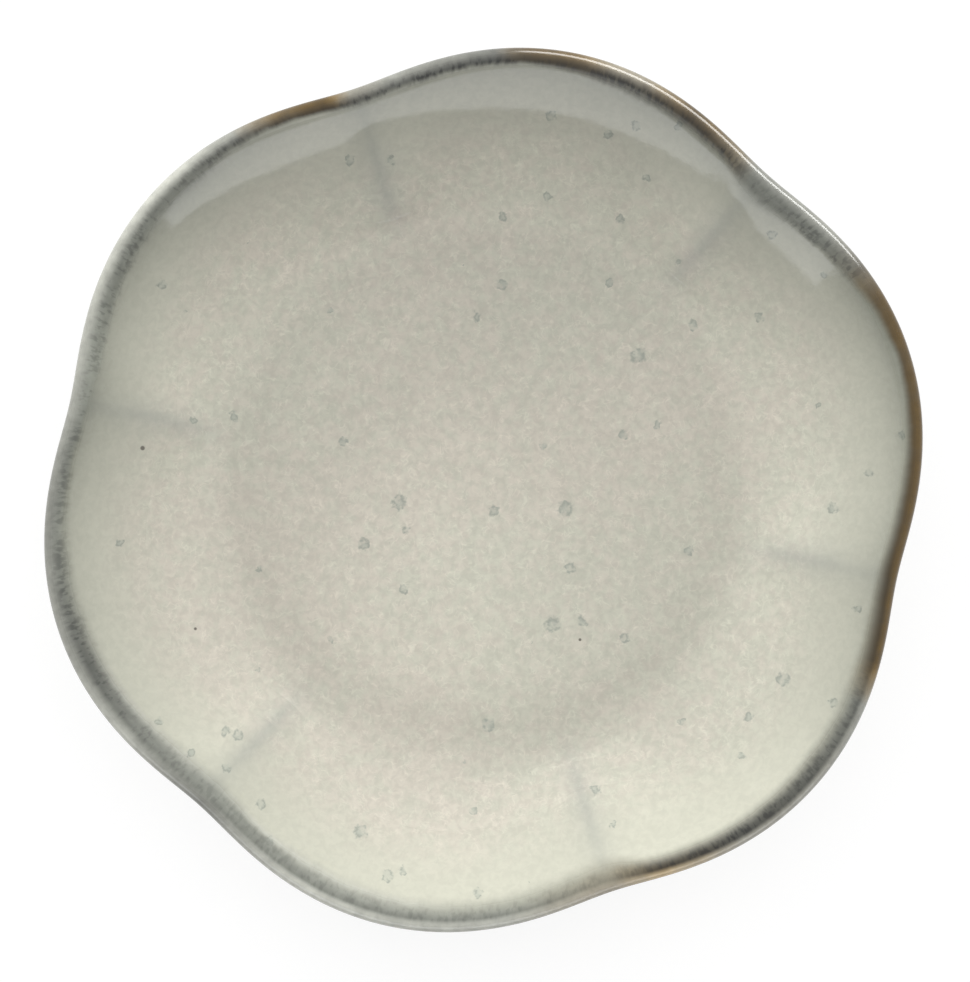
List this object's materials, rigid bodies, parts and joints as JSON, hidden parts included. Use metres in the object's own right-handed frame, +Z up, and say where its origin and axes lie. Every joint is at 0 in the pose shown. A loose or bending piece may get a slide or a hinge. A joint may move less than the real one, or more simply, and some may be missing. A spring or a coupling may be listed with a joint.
{
  "type": "scalloped dessert plate",
  "caption": "Round stoneware dessert plate with a level floor, a wall pressed into scalloped lobes, a rounded dark-glazed lip and a foot ring to stand on.",
  "frame": {"origin": "centre of the foot ring, on the table that the plate stands on", "axes": "+Z up out of the well; +X and +Y lie on the table, with the first lobe crown 18 degrees from +X towards +Y"},
  "size_m": [0.2066, 0.208, 0.028],
  "materials": {
    "stoneware": "bare fired clay, matt and slightly gritty",
    "face_glaze": "glossy grey-beige reactive glaze with fine mottling and grey-green speckles",
    "rim_glaze": "glossy iron-rich glaze, streaked blue-grey to brown where it is drawn thin",
    "back_glaze": "glossy grey-beige glaze"
  },
  "bodies": {
    "root": {"stoneware_body": "stoneware", "face_glaze": "face_glaze", "rim_glaze": "rim_glaze", "back_glaze": "back_glaze", "recess_glaze": "back_glaze"}
  },
  "joints": []
}
